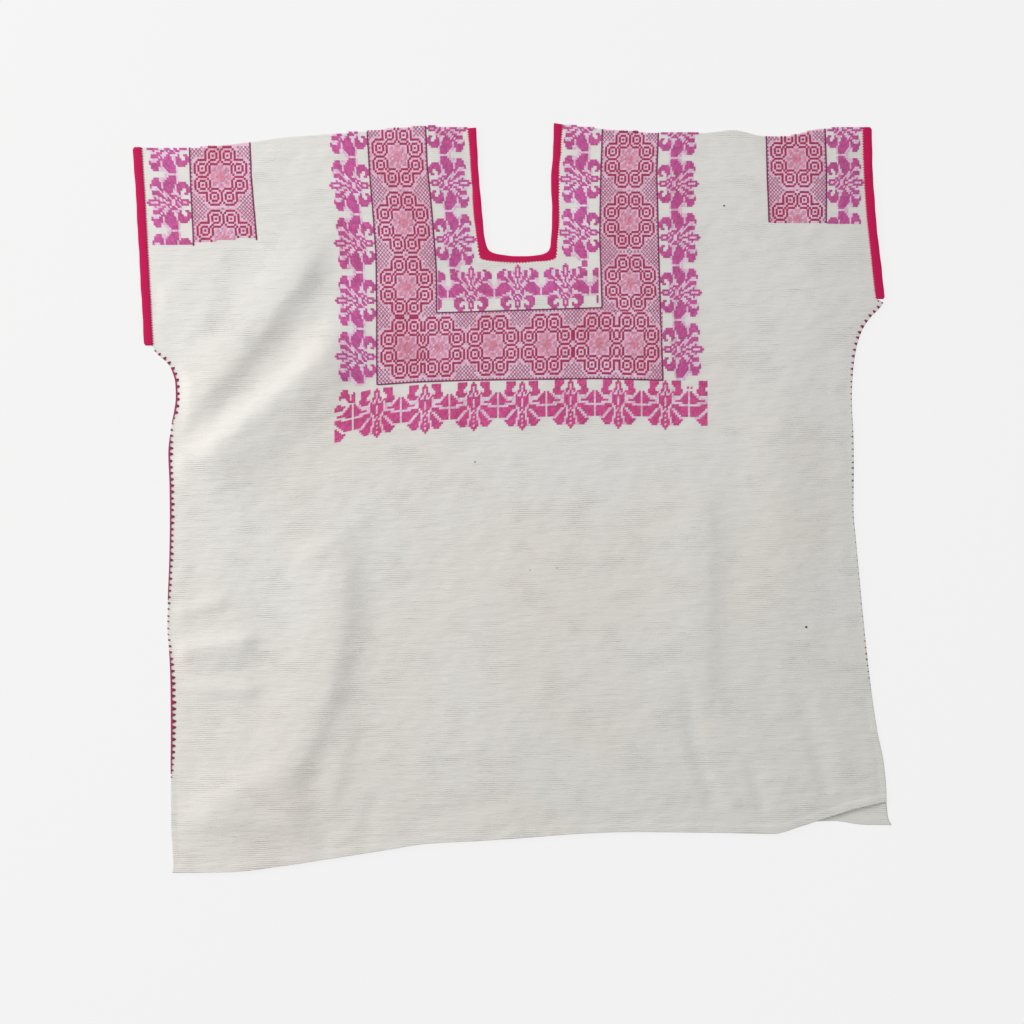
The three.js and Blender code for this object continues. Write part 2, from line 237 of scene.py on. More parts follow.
def from_srgb(red, green, blue):
    """Linear colour of an 8-bit screen colour."""
    shares = np.array([red, green, blue]) / 255
    return tuple(np.where(shares > 0.04045, ((shares + 0.055) / 1.055) ** 2.4, shares / 12.92))


# ---------------------------------------------------------------- settings


def length(name, description, default):
    return FloatProperty(name=name, description=description, default=default * MM, unit="LENGTH", precision=5)


def colour(name, description, *screen):
    return FloatVectorProperty(
        name=name, description=description, default=from_srgb(*screen), size=3, subtype="COLOR", min=0, max=1
    )


class BlouseClothSettings(bpy.types.PropertyGroup):
    """Sizes and colours of the cotton."""

    step: length("Grid step", "Distance between the points of the cloth", 3.9)
    crinkle: length("Crinkle", "Height of the soft unevenness of the washed cloth", 0.13)
    thread: length("Thread pitch", "Distance between the threads of the weave", 0.9)
    rib: length("Rib pitch", "Distance between the crosswise ribs of the weave", 2.1)
    cotton: colour("Cotton", "Colour of the clean cotton", 241, 239, 235)
    # Warmer, slightly darker cotton, laid in patches that grow towards the hem.
    cotton_warm: colour("Aged cotton", "Colour of the slightly yellowed places", 240, 233, 225)
    # Painted shade: greyer, cooler cotton laid towards the lower right, away from the lamp.
    cotton_in_painted_shade: colour("Greyed cotton", "Colour of the slightly greyed places", 228, 236, 231)
    bleed: colour("Bled dye", "Colour of the cloth round the stitches", 250, 180, 212)
    speck: colour("Specks", "Colour of the few specks of seed husk", 40, 34, 40)


class BlouseTrimSettings(bpy.types.PropertyGroup):
    """Sizes and colours of the bindings and the side edging."""

    tooth: length("Binding stitch", "Distance between the overcast stitches of a binding", 2.6)
    tooth_depth: length("Binding stitch reach", "How far an overcast stitch reaches past the binding", 1.9)
    edging_pitch: length("Edging point", "Distance between the points of the side edging", 6.2)
    edging_reach: length("Edging reach", "How far a point of the side edging reaches in", 4.2)
    binding: colour("Binding", "Colour of the folded bias strip", 222, 14, 94)
    # Painted shade: the binding's colour where it lies low, on its sides and in its hollows.
    binding_painted_shade: colour("Binding in shade", "Colour of its hollows and edges", 172, 8, 72)
    edging: colour("Edging", "Colour of the needle-worked points", 150, 34, 82)
    cord: colour("Edging cord", "Colour of the thread that joins the points", 186, 44, 108)


class BlouseStitchSettings(bpy.types.PropertyGroup):
    """Sizes and colours of the cross-stitch."""

    thick: length("Thick thread", "Width of the thread in filled motifs", 1.25)
    outline: length("Outline thread", "Width of the thread in the rosettes' outlines", 2.7)
    thin: length("Thin thread", "Width of the thread in the lattice", 0.62)
    rise: length("Stitch height", "How far a stitch stands off the cloth", 0.55)
    palmette: colour("Palmettes", "Colour of the leafy motifs", 218, 94, 170)
    palmette_low: colour("Lower palmettes", "Colour of the motifs under the level band", 228, 86, 156)
    rosette: colour("Rosettes", "Colour of the rosettes' outlines", 186, 44, 98)
    centre: colour("Rosette centres", "Colour of the filled centres", 242, 162, 194)
    lattice: colour("Lattice", "Colour of the lattice between the rosettes", 186, 88, 138)
    line: colour("Lines", "Colour of the lines that frame the bands", 138, 42, 96)
    pale: colour("Pale thread", "Colour of the thread between the leaves", 255, 219, 240)
    blush: colour("Pink thread", "Colour of the thread between the rosettes' outlines", 255, 206, 230)
    heart: colour("Hearts", "Colour of the middle of the rosettes' centres", 240, 150, 178)


class BlouseStageSettings(bpy.types.PropertyGroup):
    """Floor, light and camera."""

    floor: colour("Floor", "Colour of the pale floor", 241, 241, 241)
    key: FloatProperty(
        name="Key light", description="Power of the soft light", default=62, subtype="POWER", unit="POWER"
    )
    sky: FloatProperty(name="Sky", description="Strength of the even light all round", default=0.51, min=0)
    distance: FloatProperty(
        name="Camera height", description="Height of the camera over the floor", default=2.421, unit="LENGTH"
    )


def settings():
    return bpy.context.scene.blouse_cloth, bpy.context.scene.blouse_trim, bpy.context.scene.blouse_stitch


# ---------------------------------------------------------------- shader expressions


class Value:
    """A socket of a material's nodes that takes part in Python expressions."""

    def __init__(self, shader, socket):
        self.shader = shader
        self.socket = socket

    def sum(self, operation, *values):
        return self.shader.node("ShaderNodeMath", {"operation": operation}, *values)

    def __add__(self, other):
        return self.sum("ADD", self, other)

    def __radd__(self, other):
        return self.sum("ADD", other, self)

    def __sub__(self, other):
        return self.sum("SUBTRACT", self, other)

    def __rsub__(self, other):
        return self.sum("SUBTRACT", other, self)

    def __mul__(self, other):
        return self.sum("MULTIPLY", self, other)

    def __rmul__(self, other):
        return self.sum("MULTIPLY", other, self)

    def __pow__(self, other):
        return self.sum("POWER", self, other)

    def sine(self):
        return self.sum("SINE", self)

    def held(self):
        """The value between 0 and 1."""
        return self.sum("MINIMUM", self.sum("MAXIMUM", self, 0.0), 1.0)


class Shader:
    """Node tree of one material, written as expressions."""

    def __init__(self, name):
        self.material = bpy.data.materials.new(name)
        self.material.use_nodes = True
        self.tree = self.material.node_tree
        self.surface = self.tree.nodes["Principled BSDF"]

    def node(self, kind, options=None, *values, output=0, **named):
        """Any node: its settings first, then values or links for its sockets, in order or by name."""
        made = self.tree.nodes.new(kind)
        for option, value in (options or {}).items():
            setattr(made, option, value)
        for place, value in list(enumerate(values)) + list(named.items()):
            self.feed(made.inputs[place], value)
        return Value(self, made.outputs[output])

    def feed(self, socket, value):
        if isinstance(value, Value):
            self.tree.links.new(value.socket, socket)
        else:
            socket.default_value = value

    def where(self):
        """The point on the piece, in metres."""
        return self.node("ShaderNodeTexCoord", output="Object")

    def parts(self, vector):
        made = self.node("ShaderNodeSeparateXYZ", None, vector)
        return [Value(self, made.socket.node.outputs[axis]) for axis in "XYZ"]

    def noise(self, vector, scale, detail=2.0, roughness=0.5):
        named = {"Vector": vector, "Scale": scale, "Detail": detail, "Roughness": roughness}
        return self.node("ShaderNodeTexNoise", {"noise_dimensions": "3D"}, output="Fac", **named)

    def streaks(self, vector, along, across, detail, roughness=0.5):
        """Noise that is drawn out along the rows of the weave."""
        stretch = {"operation": "MULTIPLY"}
        drawn = self.node("ShaderNodeVectorMath", stretch, vector, (along, across, along))
        return self.noise(drawn, 1.0, detail, roughness)

    def blend(self, a, b, amount, kind="MIX"):
        """Two colours mixed; sockets 0, 6 and 7 are the factor and the colours."""
        made = self.tree.nodes.new("ShaderNodeMix")
        made.data_type = "RGBA"
        made.blend_type = kind
        for place, value in ((0, amount), (6, a), (7, b)):
            if place and not isinstance(value, Value):
                value = (*value, 1.0)
            self.feed(made.inputs[place], value)
        return Value(self, made.outputs[2])

    def dimmed(self, base, light):
        """A colour times a grey."""
        grey = self.node("ShaderNodeCombineColor", None, light, light, light)
        return self.blend(base, grey, 1.0, "MULTIPLY")

    def attribute(self, name, output):
        return self.node("ShaderNodeAttribute", {"attribute_name": name}, output=output)

    def bump(self, height, distance):
        named = {"Height": height, "Distance": distance, "Strength": 1.0}
        return self.node("ShaderNodeBump", None, output="Normal", **named)

    def finish(self, base, roughness, normal=None, **constants):
        self.feed(self.surface.inputs["Base Color"], base)
        self.feed(self.surface.inputs["Roughness"], roughness)
        if normal is not None:
            self.feed(self.surface.inputs["Normal"], normal)
        for name, value in constants.items():
            self.surface.inputs[name.replace("_", " ")].default_value = value
        return self.material


@functools.cache
def cotton_material():
    """Plain-woven cotton: crosswise ribs, slubs, warmer patches that grow towards the hem, painted shade that
    greys it towards the lower right, and dye bled in round the stitches.
    """
    cloth, _, _ = settings()
    s = Shader("washed_cotton")
    at = s.where()
    x, y, _ = s.parts(at)
    wander = s.noise(at, 26.0, 2.0) * 0.9 + s.noise(at, 130.0, 1.0) * 0.35
    ribs = ((y * (math.tau / cloth.rib) + wander * 12.0).sine() * 0.5 + 0.5) ** 2.0
    patches = ((s.streaks(at, 22.0, 40.0, 3.0) - 0.46) * 5.0).held()
    warp = (x * (math.tau / cloth.thread)).sine()
    weft = (y * (math.tau / cloth.thread) + wander * 4.0).sine()
    weave = warp * weft * 0.5 + 0.5
    slub = ((s.streaks(at, 70.0, 900.0, 1.0) - 0.6) * 5.0).held()
    crumple = s.streaks(at, 40.0, 230.0, 3.0, 0.55)
    height = ribs * patches + weave * 0.25 + slub * 0.6 + s.noise(at, 420.0, 3.0) * 0.3 + crumple * 2.7
    # Warmer, slightly darker patches of cotton, more of them towards the hem.
    warmer = ((s.noise(at, 5.5, 4.0, 0.6) - 0.4 - y * 0.5) * 2.2).held()
    base = s.blend(cloth.cotton, cloth.cotton_warm, warmer * 0.8 + ribs * patches * 0.1)
    # Painted shade: the cotton turns greyer and cooler towards the lower right, away from the lamp.
    painted_cool_shade = ((x - y) * 1.3 + s.noise(at, 7.0, 3.0) * 0.5 - 0.45).held()
    base = s.blend(base, cloth.cotton_in_painted_shade, painted_cool_shade * 0.45)
    base = s.dimmed(base, ((weave - 0.5) * 0.05 + slub * 0.05 + 0.97).held())
    stained = ((s.attribute("band_reach", "Fac") - BAND_MARGIN) * 0.8 + s.noise(at, 400.0, 2.0) * 0.6).held()
    base = s.blend(base, cloth.bleed, stained * 0.62)
    for spot_x, spot_y, size in zip(*SPECKS.values()):
        off_x, off_y = x - spot_x * MM, y - spot_y * MM
        away = (off_x * off_x + off_y * off_y) ** 0.5
        base = s.blend(base, cloth.speck, (2.2 - away * (1.6 / (size * MM))).held())
    rough = 0.86 + weave * 0.06
    return s.finish(base, rough, s.bump(height, 0.00035), Sheen_Weight=0.18, Sheen_Roughness=0.5)


@functools.cache
def binding_material():
    """Folded crimson cotton, with the bias threads just seen, and painted shade on its low sides and on the
    strip under the cloth.
    """
    _, trim, _ = settings()
    s = Shader("bias_binding")
    at = s.where()
    x, y, z = s.parts(at)
    turns = math.tau / (BIAS_PITCH * MM)
    bias = ((x + y) * turns).sine() * ((x - y) * turns).sine() * 0.5 + 0.5
    worn = s.noise(at, 60.0, 3.0)
    # Painted shade: darker where the binding lies below 2.4 mm, on its sides and on the strip under the
    # cloth. The worn noise adds random tone, darkest where the bump makes it low.
    low = ((0.0024 - z) * 900.0).held()
    painted_shade_and_wear = (low * 0.5 + (1 - worn) * 0.45 + bias * 0.12).held()
    base = s.blend(trim.binding, trim.binding_painted_shade, painted_shade_and_wear)
    relief = s.bump(bias * 0.5 + worn * 0.8, 0.0003)
    return s.finish(base, 0.68 + worn * 0.15, relief, Sheen_Weight=0.05, Specular_IOR_Level=0.25)


@functools.cache
def thread_material(name, shades):
    """Stranded cotton thread, coloured by its own shade, with a twist and a slight sheen."""
    s = Shader(name)
    at = s.where()
    x, y, _ = s.parts(at)
    twist = ((x * 1.3 + y) * (math.tau / (TWIST_PITCH * MM))).sine() * 0.5 + 0.5
    fuzz = s.noise(at, 1500.0, 2.0)
    # Darker in the twist's grooves and where the fuzz is low, both sunk by the bump too: painted shade, with
    # some random tone from the fuzz.
    base = s.dimmed(s.attribute(shades, "Color"), (twist * 0.12 + fuzz * 0.3 + 0.76).held())
    relief = s.bump(twist * 0.5 + fuzz, 0.00012)
    return s.finish(base, 0.5 + fuzz * 0.2, relief, Sheen_Weight=0.3, Sheen_Roughness=0.35)


def floor_material(stage):
    """Floor that glows with its own colour, so that it is even, and takes a faint shadow."""
    s = Shader("pale_floor")
    grain = s.noise(s.where(), 3.0, 2.0)
    lit, dark = (tuple(share * value for value in stage.floor) for share in (0.1, 0.097))
    s.surface.inputs["Emission Color"].default_value = (*stage.floor, 1)
    return s.finish(s.blend(lit, dark, grain), 0.9, Emission_Strength=0.92)


# ---------------------------------------------------------------- meshes


def build(name, points, faces, material):
    """A piece from points in millimetres and faces of equal length, smooth-shaded."""
    points = np.ascontiguousarray(points, np.float64) * MM
    faces = np.ascontiguousarray(faces, np.int32)
    mesh = bpy.data.meshes.new(name)
    mesh.vertices.add(len(points))
    mesh.vertices.foreach_set("co", points.ravel())
    mesh.loops.add(faces.size)
    mesh.loops.foreach_set("vertex_index", faces.ravel())
    mesh.polygons.add(len(faces))
    mesh.polygons.foreach_set("loop_start", np.arange(0, faces.size, faces.shape[1], dtype=np.int32))
    mesh.update(calc_edges=True)
    mesh.shade_smooth()
    if mesh.validate():
        raise RuntimeError(f"{name} has faces that don't hold")
    mesh.materials.append(material)
    piece = bpy.data.objects.new(name, mesh)
    bpy.context.scene.collection.objects.link(piece)
    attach(piece, "root")
    return piece


def add_shades(piece, name, shades):
    """One colour for each point."""
    layer = piece.data.color_attributes.new(name, "FLOAT_COLOR", "POINT")
    layer.data.foreach_set("color", np.column_stack([shades, np.ones(len(shades))]).ravel())


def grid_faces(rows, columns, closed=False):
    """Four-cornered faces over a grid of points, closed round along its columns if asked."""
    across = np.arange(columns if closed else columns - 1)
    row, column = np.meshgrid(np.arange(rows - 1), across, indexing="ij")
    beside = (column + 1) % columns
    corners = ((0, column), (1, column), (1, beside), (0, beside))
    return np.stack([(row + down) * columns + side for down, side in corners], -1).reshape(-1, 4)


def open_edges(faces):
    """Directed edges of the faces that no other face shares."""
    edges = np.concatenate([np.stack([faces[:, k], faces[:, (k + 1) % 4]], -1) for k in range(4)])
    top = int(faces.max()) + 1
    forward = edges[:, 0] * top + edges[:, 1]
    back = edges[:, 1] * top + edges[:, 0]
    return edges[~np.isin(forward, back)]


def shell(outer, faces):
    """Thin closed cloth: the outer points, an inner copy moved in along the normals, and its rim."""
    corners = outer[faces]
    facing = np.cross(corners[:, 2] - corners[:, 0], corners[:, 3] - corners[:, 1])
    normals = np.zeros_like(outer)
    for k in range(4):
        np.add.at(normals, faces[:, k], facing)
    normals /= np.maximum(np.linalg.norm(normals, axis=1, keepdims=True), 1e-9)
    count = len(outer)
    rim = open_edges(faces)
    walls = np.stack([rim[:, 1], rim[:, 0], rim[:, 0] + count, rim[:, 1] + count], -1)
    every = np.concatenate([faces, faces[:, ::-1] + count, walls])
    points = np.concatenate([outer, outer - normals * CLOTH])
    used = np.unique(every)
    renumber = np.zeros(2 * count, int)
    renumber[used] = np.arange(len(used))
    return points[used], renumber[every]


def joined(parts):
    """Points and faces of several parts as one."""
    starts = np.cumsum([0] + [len(points) for points, _ in parts])
    faces = [faces + start for (_, faces), start in zip(parts, starts)]
    return np.concatenate([points for points, _ in parts]), np.concatenate(faces)


# ---------------------------------------------------------------- the cloth


def spaced(total, step, near, far):
    """Places from 0 to total, at close ones by the two ends and evenly between."""
    inner = np.linspace(near[-1], total - far[-1], max(2, round((total - near[-1] - far[-1]) / step)))
    return np.concatenate([near[:-1], inner, total - np.array(far[:-1][::-1])])


def fall(sections):
    """How far down from the shoulder the middle of each section is."""
    middle = (sections["leftY"] + sections["rightY"]) / 2
    return middle[0] - middle


def panel_points(sections, hem_column, down, shares):
    """Points of a panel, and how far in each is from the nearer side, the shoulder and the hem."""
    rows = fall(sections)
    left_x, left_y, right_x, right_y = (
        through(rows, sections[name], down)[:, None] for name in ("leftX", "leftY", "rightX", "rightY")
    )
    first = mix(sections["leftY"][0], sections["rightY"][0], shares)
    last = mix(sections["leftY"][-1], sections["rightY"][-1], shares)
    top = through(SHOULDER["share"], SHOULDER["y"], shares) - first
    bottom = through(HEM["share"], HEM[hem_column], shares) - last
    x = mix(left_x, right_x, shares)
    y = mix(left_y, right_y, shares) + mix(top, bottom, (down / rows[-1])[:, None])
    side = np.minimum(shares, 1 - shares) * (right_x - left_x)
    from_top, from_hem = (np.broadcast_to(depth[:, None], x.shape) for depth in (down, rows[-1] - down))
    return x, y, side, from_top, from_hem


def neck_distance(x, y):
    across = np.maximum(np.abs(x - NECK_MIDDLE) - NECK_HALF, 0)
    return np.hypot(across, np.maximum(NECK_LOW - y, 0))


def fold_height(x, y):
    total = np.zeros_like(x)
    for x1, y1, x2, y2, bow, left, right, rise in zip(*FOLDS.values()):
        span = math.hypot(x2 - x1, y2 - y1)
        ux, uy = (x2 - x1) / span, (y2 - y1) / span
        run = ((x - x1) * ux + (y - y1) * uy) / span
        aside = (y - y1) * ux - (x - x1) * uy - bow * 4 * run * (1 - run)
        ends = smooth(4 * run) * smooth(4 * (1 - run))
        total += rise * ends * np.exp(-((aside / np.where(aside > 0, left, right)) ** 2))
    return total


def loft(x, y, side, top, hem):
    """Space under the front, the same as in its solid."""
    level = LOFT * smooth(side / LOFT_REACH) * smooth(top / LOFT_REACH)
    level *= smooth(neck_distance(x, y) / NECK_REACH)
    height = level * mix(HEM_LOFT, 1, smooth(hem / LOFT_REACH)) + fold_height(x, y)
    eased = (height + np.hypot(height, FLOOR_EASE)) / 2
    return eased * smooth(side / EDGE_HOLD) * smooth(top / EDGE_HOLD)


def turned(depth, reach, amount):
    """Extra height where an edge is turned in, with a soft step at the end of the turn."""
    return amount * (1 - smooth((depth - reach + TURN_STEP / 2) / TURN_STEP))


def turnings(hem, side, vent, hem_turn, vent_turn):
    """Extra height of the turned hem, and of the turned sides where the vent is."""
    sides = np.where(vent, turned(side, VENT_DEPTH, vent_turn), 0)
    return np.maximum(turned(hem, HEM_DEPTH, hem_turn), sides)


def front_height(x, y, side, top, hem):
    cloth, _, _ = settings()
    rolled = turnings(hem, side, np.where(x < 0, y < VENT_TOP, y < RIGHT_VENT_TOP), HEM_TURN, VENT_TURN)
    crinkle = unevenness(x, y, 24.0, 5) + 0.6 * unevenness(x * 0.5, y * 1.6, 11.0, 8)
    soft = cloth.crinkle / MM * crinkle * smooth(side / CRINKLE_REACH) * smooth(top / CRINKLE_REACH)
    soft *= smooth(neck_distance(x, y) / CRINKLE_NECK_REACH)
    return FRONT_TOP + loft(x, y, side, top, hem) + rolled + soft


def neck_line(seam_share):
    """Neck outline between the open edge (0) and the seam (1), and the length up to each point."""
    edge, seam = (np.stack([NECK[name + "X"], NECK[name + "Y"]], -1) for name in ("edge", "seam"))
    run = running((edge + seam) / 2)
    at = np.linspace(0, run[-1], NECK_STATIONS)
    return np.stack([through(run, values, at) for values in mix(edge, seam, seam_share).T], -1), at


def inside(outline, points):
    """Whether each point is inside a closed outline."""
    x, y = points[:, 0], points[:, 1]
    found = np.zeros(len(points), bool)
    for (ax, ay), (bx, by) in zip(outline, np.roll(outline, -1, axis=0)):
        if ay == by:
            continue
        crosses = (ay > y) != (by > y)
        found ^= crosses & (x < (bx - ax) * (y - ay) / (by - ay) + ax)
    return found


def neck_area(seam_share):
    line, _ = neck_line(seam_share)
    return np.concatenate([[(line[0, 0], OVER_SHOULDER)], line, [(line[-1, 0], OVER_SHOULDER)]])


def cut_neck(grid):
    """Points and faces of a grid without those in the neck, its points at the edge drawn onto the cut."""
    faces = grid_faces(*grid.shape[:2])
    flat = grid.reshape(-1, 3)
    outline = neck_area(NECK_CUT)
    within = inside(outline, flat[:, :2])
    faces = faces[~within[faces].all(axis=1)]
    for point in np.intersect1d(np.nonzero(within)[0], faces):
        gap = np.hypot(*(outline[1:-1] - flat[point, :2]).T)
        flat[point, :2] = outline[1 + gap.argmin()]
    return flat, faces


@functools.cache
def front_grid():
    """Outer points of the front, from under the shoulder fold over it and down to the hem."""
    cloth, _, _ = settings()
    step = cloth.step / MM
    shares = spaced(FRONT_WIDTH, step, NEAR_SIDE, NEAR_SIDE) / FRONT_WIDTH
    down = spaced(fall(SECTIONS)[-1], step, NEAR_SHOULDER, NEAR_HEM)
    x, y, side, top, hem = panel_points(SECTIONS, "front", down, shares)
    z = front_height(x, y, side, top, hem)
    fold_x, fold_y, *_ = panel_points(SECTIONS, "front", np.zeros(1), shares)
    turns = np.radians(np.linspace(*ROLL_TURN, ROLL_STATIONS))[:, None]
    roll_x = np.broadcast_to(fold_x, (len(turns), len(shares)))
    roll_y = fold_y - ROLL_BACK + ROLL * np.cos(turns)
    roll_z = np.broadcast_to(ROLL + ROLL * np.sin(turns), roll_x.shape)
    return np.stack([np.concatenate(pair) for pair in ((roll_x, x), (roll_y, y), (roll_z, z))], -1)


@functools.cache
def front_surface():
    grid = front_grid()
    return BVHTree.FromPolygons(grid.reshape(-1, 3).tolist(), grid_faces(*grid.shape[:2]).tolist())


def heights(points):
    """Height and slope of the front's upper face under each point, and whether it is there at all."""
    found = np.zeros((len(points), 4))
    for place, (x, y) in enumerate(points):
        hit, normal, _, _ = front_surface().ray_cast(Vector((x, y, OVER_CLOTH)), Vector((0, 0, -1)))
        if hit is not None and abs(normal.z) >= STEEPEST:
            found[place] = (hit.z, -normal.x / normal.z, -normal.y / normal.z, 1)
    return found


class BLOUSE_OT_front_cloth(bpy.types.Operator):
    """Front of the blouse: one cloth over the shoulder fold, with its creases, hem and vents"""

    bl_idname = "blouse.front_cloth"
    bl_label = "Front"

    def execute(self, context):
        points, faces = shell(*cut_neck(front_grid().copy()))
        piece = build("front_cloth", points, faces, cotton_material())
        layer = piece.data.attributes.new("band_reach", "FLOAT", "POINT")
        layer.data.foreach_set("value", band_reach(points))
        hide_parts("front_panel")
        return {"FINISHED"}


class BLOUSE_OT_back_cloth(bpy.types.Operator):
    """Back of the blouse, flat on the floor under the front"""

    bl_idname = "blouse.back_cloth"
    bl_label = "Back"

    def execute(self, context):
        sections = {name: values.copy() for name, values in SECTIONS.items()}
        sections["leftX"] += BACK_INSET
        sections["rightX"] -= BACK_INSET
        for name, values in BACK_CORNER.items():
            sections[name][-len(values):] = values
        sections["leftY"][-1] = HEM["back"][0]
        shares = spaced(BACK_WIDTH, BACK_STEP, BACK_NEAR_SIDE, BACK_NEAR_SIDE) / BACK_WIDTH
        down = spaced(fall(sections)[-1], BACK_STEP, BACK_NEAR_SHOULDER, NEAR_HEM)
        x, y, side, _, hem = panel_points(sections, "back", down, shares)
        rolled = turnings(hem, side, y < RIGHT_VENT_TOP, BACK_HEM_TURN, BACK_VENT_TURN)
        z = BACK_TOP + rolled * smooth((x - CORNER_FROM) / CORNER_OVER)
        points, faces = shell(*cut_neck(np.stack([x, y, z], -1)))
        points[:, 2] = np.where(points[:, 2] < BACK_TOP / 2, BACK_TOP - CLOTH, points[:, 2])
        piece = build("back_cloth", points, faces, cotton_material())
        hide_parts("back_panel")
        return {"FINISHED"}


# ---------------------------------------------------------------- bindings and edging


def strip_run(seam, edge, run, low, high, teeth=True):
    """Points of a folded strip between its seam and its open edge: a soft cushion round its section."""
    _, trim, _ = settings()
    width = np.hypot(*(edge - seam).T)
    stitched = 1 - np.abs(run / (trim.tooth / MM) % 1 * 2 - 1)
    shift = -(trim.tooth_depth / MM if teeth else 0) * stitched / width
    wave = 0.02 * np.sin(run * math.tau / 61) + 0.015 * np.sin(run * math.tau / 23 + 1)
    rows = []
    for across, height in zip(*BINDING_PROFILE.values()):
        at = across + np.where(across < 0.1, shift, 0) + np.where(across > 0.9, wave, 0)
        flat = seam + (edge - seam) * at[:, None]
        lift = 0.05 * np.sin(run * math.tau / 37 + across * 3)
        rows.append(np.column_stack([flat, mix(low, high, height) + lift * (height > 0.5)]))
    return np.stack(rows, 1)


def capped(points):
    """Faces of a closed section carried along its run, with both ends closed to a middle point."""
    rows, columns = points.shape[:2]
    flat = np.concatenate([points.reshape(-1, 3), points[[0, -1]].mean(axis=1)])
    ends = []
    for row, turn in ((0, 1), (rows - 1, -1)):
        middle = rows * columns + (row > 0)
        around = row * columns + np.arange(columns + 1) % columns
        for k in range(0, columns, 2):
            ends.append((middle, *around[k : k + 3][::turn]))
    return flat, np.concatenate([grid_faces(rows, columns, closed=True), np.array(ends)])


def wrapped_binding(name, seam, edge, run, node):
    """A binding round an opening: a strip on the front, one under it, and a turn over each end."""
    parts = []
    for low, high in ((BINDING_UNDER, BINDING_TOP), (0.0, BINDING_UNDER - BINDING_GAP)):
        parts.append(capped(strip_run(seam, edge, run, low, high)))
    rounding = 0.72 + 0.28 * smooth(1.6 * np.linspace(0, 1, BINDING_END))
    for end, round_end in ((slice(0, BINDING_END), rounding), (slice(-BINDING_END, None), rounding[::-1])):
        turn = strip_run(seam[end], edge[end], run[end], 0.0, BINDING_TOP, teeth=False)
        turn[:, :, 2] = mix(BINDING_TOP / 2, turn[:, :, 2], round_end[:, None])
        parts.append(capped(turn))
    points, faces = joined(parts)
    if seam[0, 0] > edge[0, 0]:
        faces = faces[:, ::-1]
    piece = build(name, points, faces, binding_material())
    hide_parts(node)


class BLOUSE_OT_neck_binding(bpy.types.Operator):
    """Crimson bias binding round the square neck"""

    bl_idname = "blouse.neck_binding"
    bl_label = "Neck binding"

    def execute(self, context):
        seam, run = neck_line(1.0)
        edge, _ = neck_line(0.0)
        wrapped_binding("neck_binding_cloth", seam, edge, run, "neck_binding")
        return {"FINISHED"}


class BLOUSE_OT_sleeve_bindings(bpy.types.Operator):
    """Crimson bias bindings at the two sleeve ends"""

    bl_idname = "blouse.sleeve_bindings"
    bl_label = "Sleeve bindings"

    def execute(self, context):
        for side, outward in (("left", -1), ("right", 1)):
            x, y = SECTIONS[side + "X"][:SLEEVE_ROWS], SECTIONS[side + "Y"][:SLEEVE_ROWS]
            y_at = np.linspace(y[0], y[-1] + SLEEVE_SHORT, SLEEVE_STATIONS)
            run = y[0] - y_at
            seam = np.stack([through(-y, x, -y_at), y_at], -1)
            rounding = np.minimum(smooth(run / 2.5), smooth((run[-1] - run) / 2.0))
            reach = BINDING_WIDTH - SLEEVE_EASE - SLEEVE_ROUNDING * (1 - rounding)
            edge = seam + np.stack([outward * reach, np.zeros(len(run))], -1)
            wrapped_binding(f"{side}_sleeve_binding_cloth", seam, edge, run, f"{side}_sleeve_binding")
        return {"FINISHED"}


def level_normals(ahead):
    """Level unit vectors to the left of directions."""
    sides = np.stack([-ahead[:, 1], ahead[:, 0], np.zeros(len(ahead))], -1)
    return sides / np.linalg.norm(sides, axis=1, keepdims=True)


def thread_strips(starts, ends, width, rise):
    """Bent strips of thread from start to end: three stations, each with two edges and a ridge."""
    along_strip = np.array([0.0, 0.5, 1.0])[:, None]
    ridge = starts[:, None] + (ends - starts)[:, None] * along_strip
    ridge[:, 1, 2] += rise
    half = (level_normals(ends - starts) * width[:, None] / 2)[:, None]
    drop = np.array([0, 0, -THREAD_DROP]) * width[:, None, None]
    points = np.stack([ridge - half + drop, ridge, ridge + half + drop], 2)
    faces = (np.arange(len(starts)) * 9)[:, None, None] + grid_faces(3, 3)[:, [0, 3, 2, 1]]
    return points.reshape(-1, 3), faces.reshape(-1, 4)


def edging_points(line, sizes, inward, draw):
    """Fans of five threads for the points of an edging: starts, ends, widths, rises and shades."""
    _, trim, _ = settings()
    at = np.arange(1.5, running(line)[-1] - 1.5, trim.edging_pitch / MM)
    at = at + draw.uniform(-0.5, 0.5, len(at))
    centre = along(line, at)
    tangent = along(line, at + 2) - along(line, at - 2)
    tangent /= np.linalg.norm(tangent, axis=1, keepdims=True)
    normal = np.stack([-tangent[:, 1], tangent[:, 0], np.zeros(len(at))], -1)
    normal *= -np.sign(tangent[:, 1:2]) * inward
    size = np.interp(-centre[:, 1], sizes["down"], sizes["size"]) * draw.uniform(0.88, 1.1, len(at))
    reach = trim.edging_reach / MM * size
    lifted = np.array([0, 0, 0.55])
    for fan in (-1.5, -0.75, 0, 0.75, 1.5):
        out = reach * (1 - 0.12 * abs(fan))
        root = centre + tangent * (fan * 0.85 * size)[:, None] + normal * (0.3 * size)[:, None] + lifted
        tip = centre + tangent * (fan * 0.22 * size)[:, None] + normal * out[:, None] + lifted
        shade = np.array(trim.edging) * (1 + draw.uniform(-0.2, 0.25, (len(at), 1)))
        yield root, tip, 1.15 * size, 0.5 + 0.2 * size, shade


def edging_cord(line, sizes, inward, draw):
    """Thread along the foot of an edging's points, in the same way."""
    _, trim, _ = settings()
    at = np.arange(0.5, running(line)[-1] - 0.5, 1.6)
    lift = np.array([0.45 * inward, 0, 0.5])
    starts, ends = along(line, at) + lift, along(line, at + 2.0) + lift
    drawn = np.interp(-starts[:, 1], sizes["down"], sizes["cord"])
    shown = drawn > 0.15
    shade = np.array(trim.cord) * (1 + draw.uniform(-0.12, 0.12, (shown.sum(), 1)))
    return starts[shown], ends[shown], 0.7 + 0.9 * drawn[shown], np.full(shown.sum(), 0.35), shade


